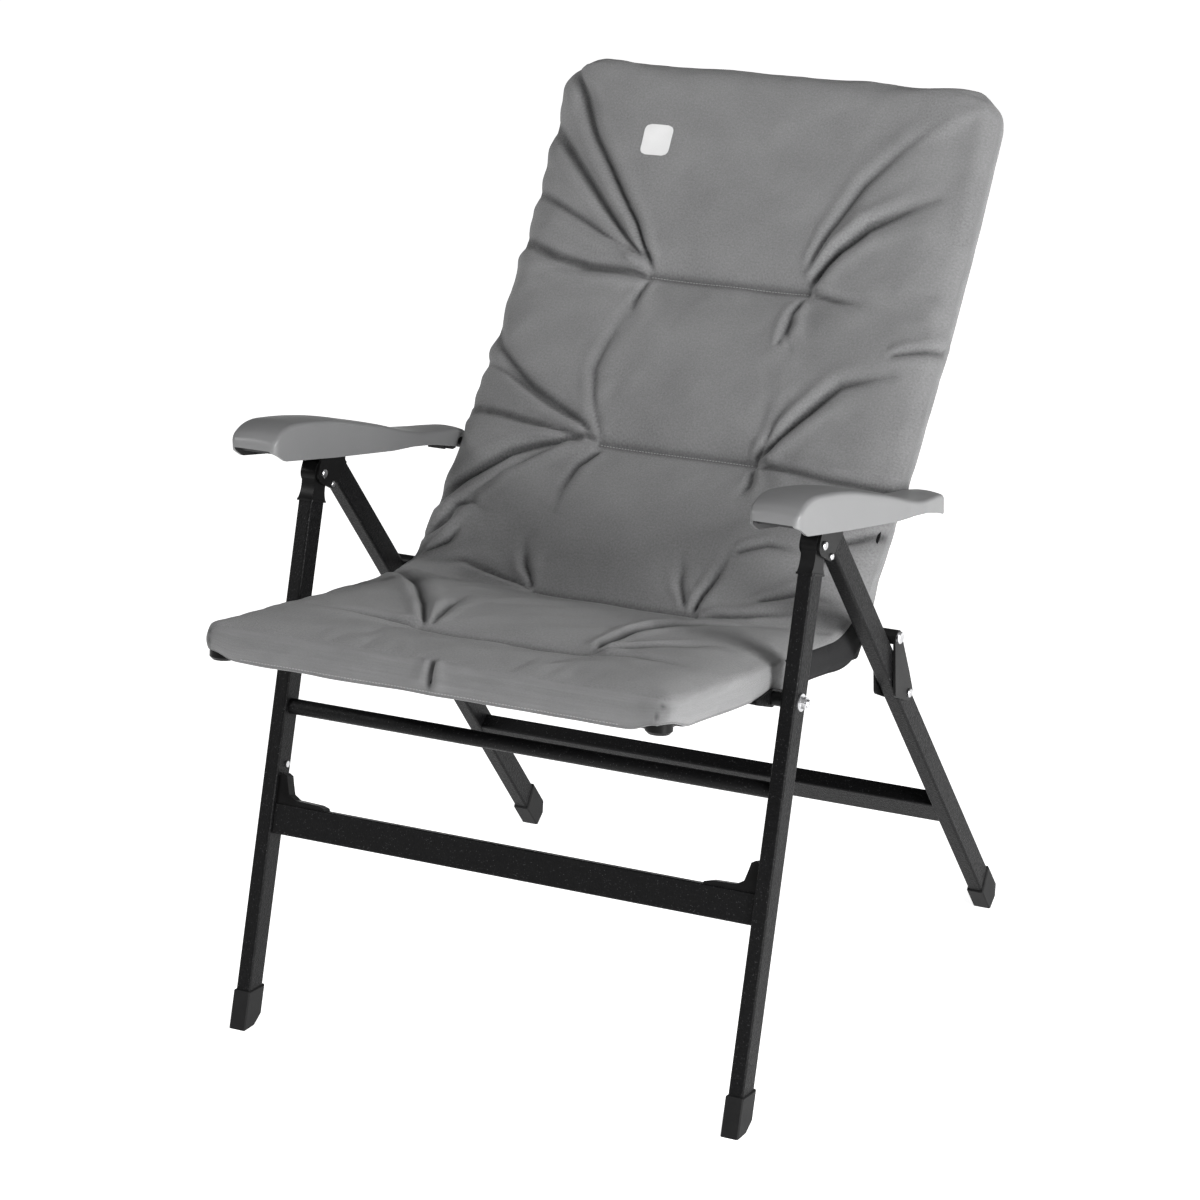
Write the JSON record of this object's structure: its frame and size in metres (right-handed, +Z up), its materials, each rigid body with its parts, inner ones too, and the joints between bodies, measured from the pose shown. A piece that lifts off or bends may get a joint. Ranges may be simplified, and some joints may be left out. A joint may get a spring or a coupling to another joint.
{
  "type": "folding chair",
  "caption": "Folding reclining armchair with a padded fabric seat and back on a black tube frame, hollow grey armrests with notched racks, and coupled folding legs.",
  "frame": {"origin": "on the floor under the middle of the whole chair with the back fully reclined", "axes": "+Z up, -Y towards the front of the seat, +X towards the right-hand side as seen from the front"},
  "size_m": [0.62, 0.7797, 0.8627],
  "materials": {
    "cover": "matte woven polyester",
    "armrest_plastic": "satin moulded",
    "frame_paint": "fine textured powder coat",
    "black_plastic": "satin moulded",
    "foot_plastic": "satin",
    "bright_hardware": "bright zinc"
  },
  "bodies": {
    "armrest_left_body": {"armrest_left": "armrest_plastic", "armrest_rack_left": "black_plastic"},
    "rear_frame": {"armrest_pins": "bright_hardware", "cap_screws": "bright_hardware", "link_rivets": "bright_hardware", "rear_cross_bar": "frame_paint", "rear_foot_left": "foot_plastic", "rear_foot_right": "foot_plastic", "rear_leg_cap_left": "black_plastic", "rear_leg_cap_right": "black_plastic", "rear_leg_left": "frame_paint", "rear_leg_right": "frame_paint", "top_rivet_left": "bright_hardware", "top_rivet_right": "bright_hardware"},
    "armrest_right_body": {"armrest_rack_right": "black_plastic", "armrest_right": "armrest_plastic"},
    "back_frame": {"back_corner_left": "frame_paint", "back_corner_right": "frame_paint", "back_lower_tube": "frame_paint", "back_middle_tube": "frame_paint", "back_pad": "cover", "back_pin_left": "frame_paint", "back_pin_right": "frame_paint", "back_rail_left": "frame_paint", "back_rail_right": "frame_paint", "back_top_tube": "frame_paint"},
    "front_frame": {"brace_rivets": "bright_hardware", "corner_brace_left": "black_plastic", "corner_brace_right": "black_plastic", "front_foot_left": "foot_plastic", "front_foot_right": "foot_plastic", "front_leg_cap_left": "black_plastic", "front_leg_cap_right": "black_plastic", "front_leg_left": "frame_paint", "front_leg_right": "frame_paint", "front_lower_bar": "frame_paint", "front_upper_bar": "frame_paint", "seat_bolts": "bright_hardware", "seat_nuts": "bright_hardware", "seat_spacers": "black_plastic", "seat_washers": "bright_hardware"},
    "link_left": {"link_bolt_left": "bright_hardware", "link_bracket_left": "black_plastic"},
    "link_right": {"link_bolt_right": "bright_hardware", "link_bracket_right": "black_plastic"},
    "seat_frame": {"seat_bracket_left": "frame_paint", "seat_bracket_right": "frame_paint", "seat_corner_left": "black_plastic", "seat_corner_right": "black_plastic", "seat_front_tube": "frame_paint", "seat_hinge_left": "frame_paint", "seat_hinge_right": "frame_paint", "seat_middle_tube": "frame_paint", "seat_pad": "cover", "seat_rail_left": "frame_paint", "seat_rail_right": "frame_paint", "seat_rear_tube": "frame_paint"}
  },
  "joints": [
    {"name": "leg_fold", "type": "hinge", "parent": "rear_frame", "child": "front_frame", "pos_m": [0, -0.1365, 0.5327], "axis": [1, 0, 0], "range_deg": [0, 50]},
    {"name": "seat_fold", "type": "hinge", "parent": "front_frame", "child": "seat_frame", "pos_m": [0, -0.18418, 0.39101], "axis": [1, 0, 0], "range_deg": [-86, 0]},
    {"name": "link_fold_left", "type": "hinge", "parent": "rear_frame", "child": "link_left", "pos_m": [-0.277, 0.0555, 0.3202], "axis": [1, 0, 0], "range_deg": [-149, 0]},
    {"name": "link_fold_right", "type": "hinge", "parent": "rear_frame", "child": "link_right", "pos_m": [0.277, 0.0555, 0.3202], "axis": [1, 0, 0], "range_deg": [-149, 0]},
    {"name": "back_recline", "type": "hinge", "parent": "seat_frame", "child": "back_frame", "pos_m": [0, 0.02967, 0.38706], "axis": [1, 0, 0], "range_deg": [0, 100]},
    {"name": "armrest_tilt_left", "type": "hinge", "parent": "rear_frame", "child": "armrest_left_body", "pos_m": [-0.283, -0.12374, 0.55712], "axis": [-1, 0, 0], "range_deg": [-30, 27]},
    {"name": "armrest_tilt_right", "type": "hinge", "parent": "rear_frame", "child": "armrest_right_body", "pos_m": [0.283, -0.12374, 0.55712], "axis": [-1, 0, 0], "range_deg": [-30, 27]}
  ],
  "couplings": [
    {"joint": "seat_fold", "follows": "leg_fold", "ratio": -1.72},
    {"joint": "link_fold_left", "follows": "leg_fold", "ratio": -2.98},
    {"joint": "link_fold_right", "follows": "leg_fold", "ratio": -2.98}
  ]
}
